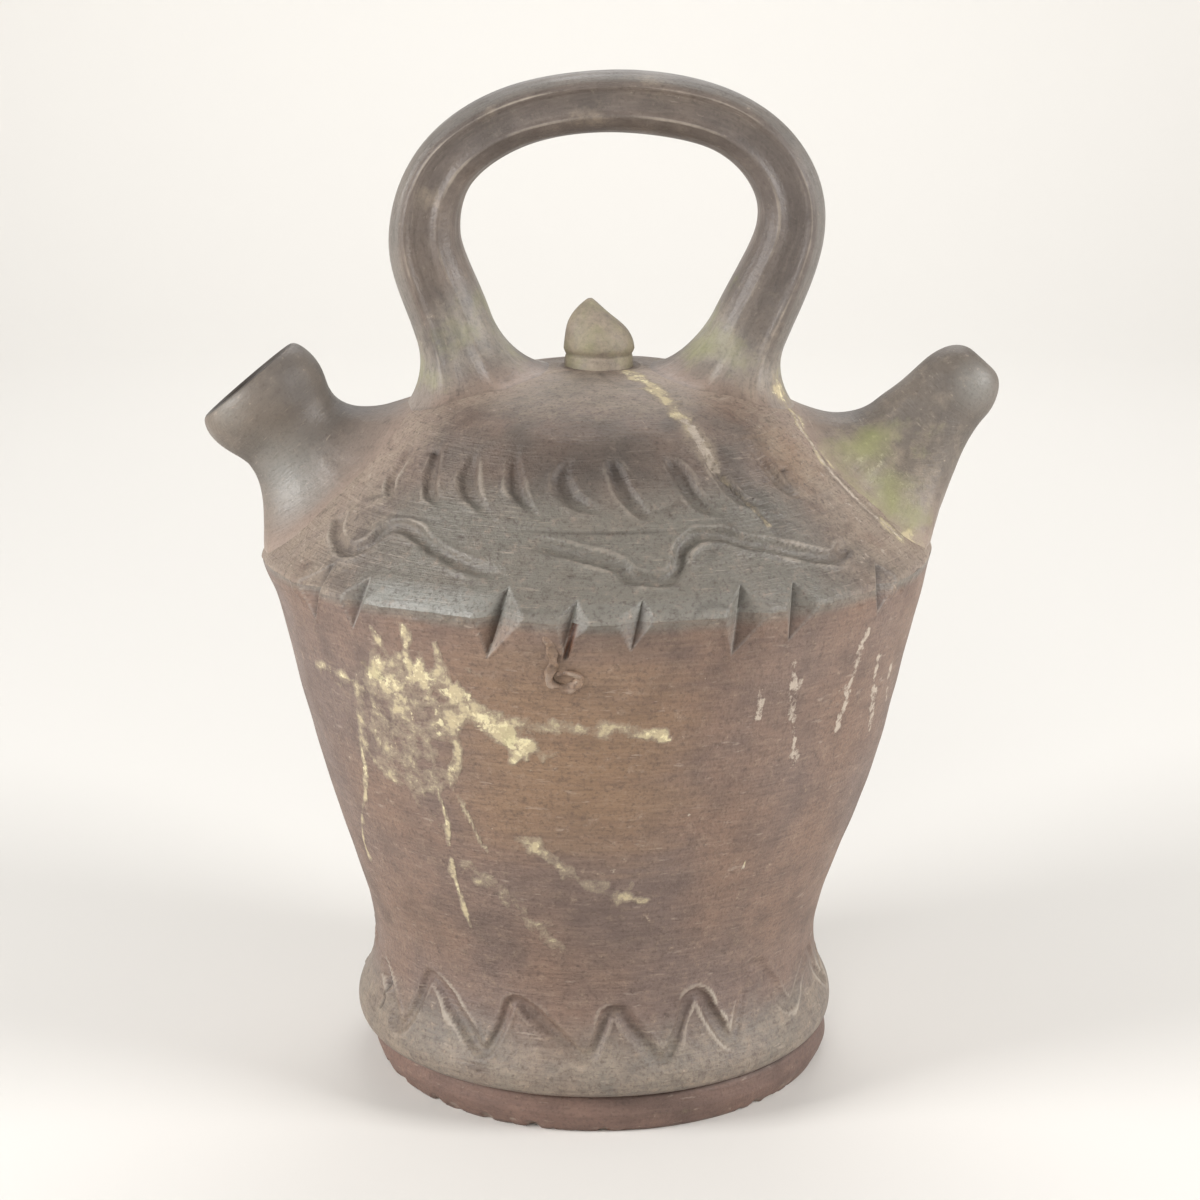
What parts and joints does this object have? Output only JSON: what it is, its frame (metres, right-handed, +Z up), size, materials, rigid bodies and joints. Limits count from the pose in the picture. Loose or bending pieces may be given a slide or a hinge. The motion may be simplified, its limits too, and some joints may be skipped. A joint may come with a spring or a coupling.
{
  "type": "spouted water jug",
  "caption": "Smoke-fired clay water jug with a closed shoulder, stirrup handle, wide filling mouth and narrow drinking spout.",
  "frame": {"origin": "middle of the flat foot, on the surface the jug stands on", "axes": "+Z up along the axis the jug was turned on, -X towards the filling mouth, +X towards the drinking spout"},
  "size_m": [0.2352, 0.1981, 0.3002],
  "materials": {
    "umber_clay": "matt smoke-fired clay, turned, brown-grey",
    "slate_clay": "matt smoke-fired clay, hand-smoothed, slate grey"
  },
  "bodies": {
    "root": {"base_slab": "umber_clay", "belly_wall": "umber_clay", "shoulder_cone": "umber_clay", "closing_knob": "slate_clay", "filling_mouth": "slate_clay", "mouth_luting_coil": "slate_clay", "drinking_spout": "slate_clay", "spout_luting_coil": "slate_clay", "carrying_handle": "slate_clay", "handle_luting_left": "slate_clay", "handle_luting_right": "slate_clay"}
  },
  "joints": []
}
